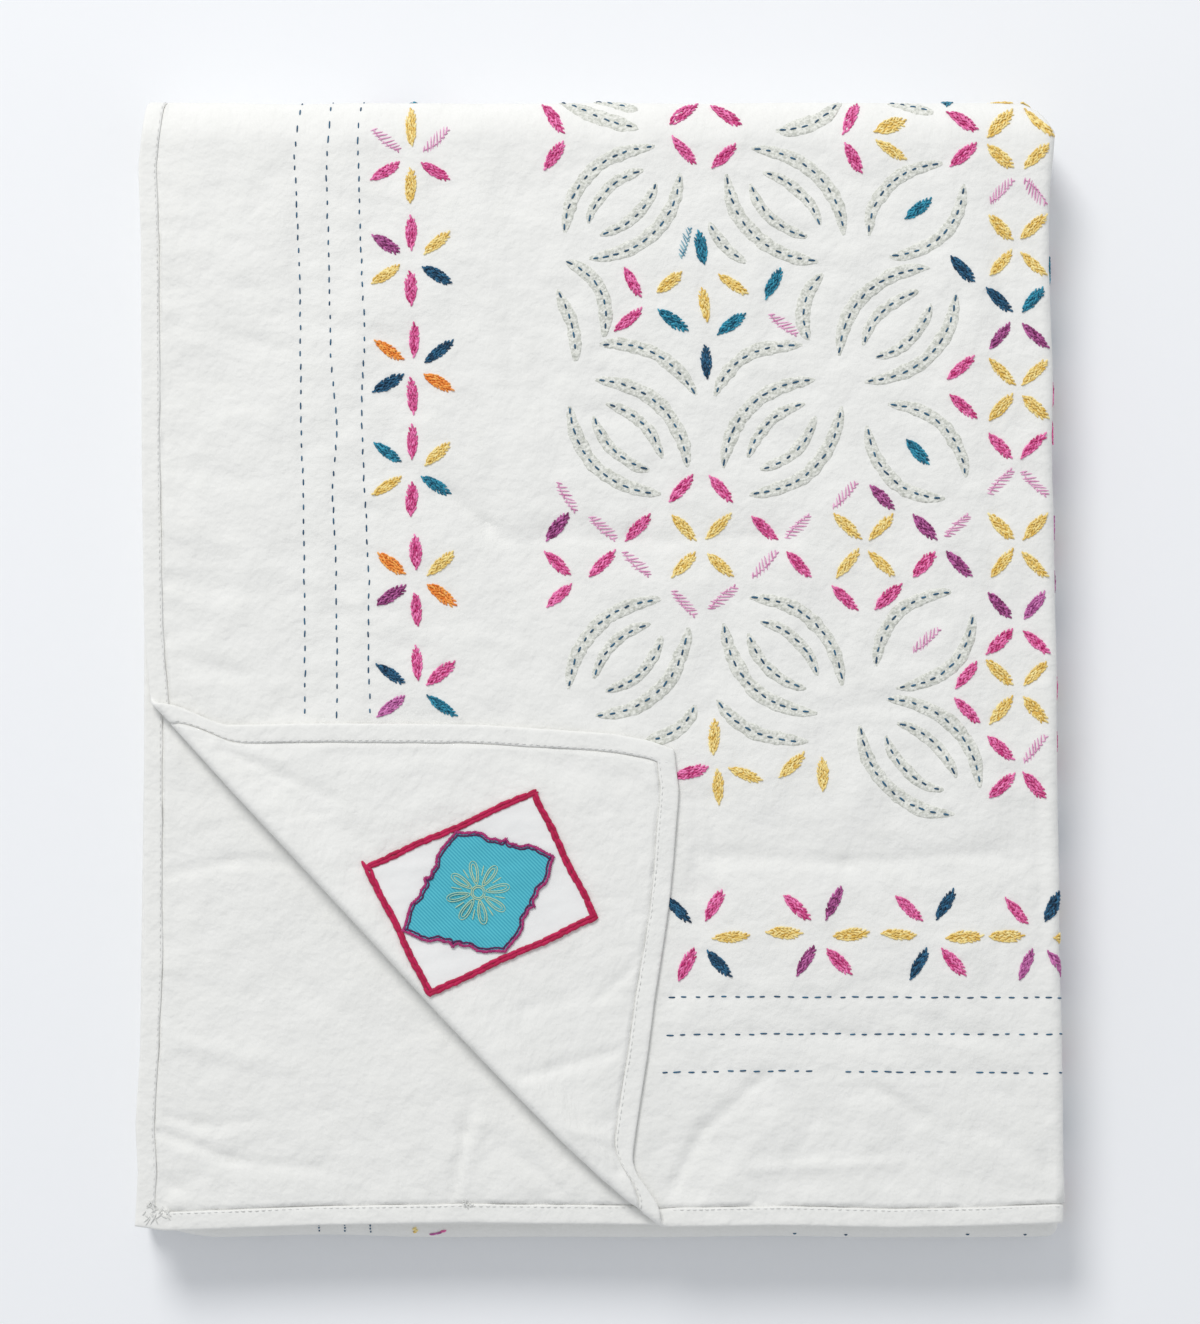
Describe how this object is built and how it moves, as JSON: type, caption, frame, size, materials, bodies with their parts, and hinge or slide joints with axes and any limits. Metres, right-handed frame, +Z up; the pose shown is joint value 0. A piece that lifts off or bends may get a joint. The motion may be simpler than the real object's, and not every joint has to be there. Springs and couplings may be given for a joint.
{
  "type": "folded quilt",
  "caption": "White cotton hand-quilted quilt with bound edges, coloured thread embroidery and sewn-on crescents, folded into a flat pad with one front corner turned back.",
  "frame": {"origin": "on the ground, below the centre of the folded quilt's box", "axes": "+Z up through the layers, +Y along the folded quilt from the hems to the back folds, +X from the hems on the left to the folds on the right"},
  "size_m": [0.5788, 0.7174, 0.0634],
  "materials": {
    "cloth": "matte plain-woven cotton",
    "tape": "matte cotton tape",
    "patch": "matte plain-woven cotton",
    "label": "matte twill"
  },
  "bodies": {
    "root": {"quilt": "cloth", "binding": "tape", "label_patch": "patch", "label": "label"}
  },
  "joints": []
}
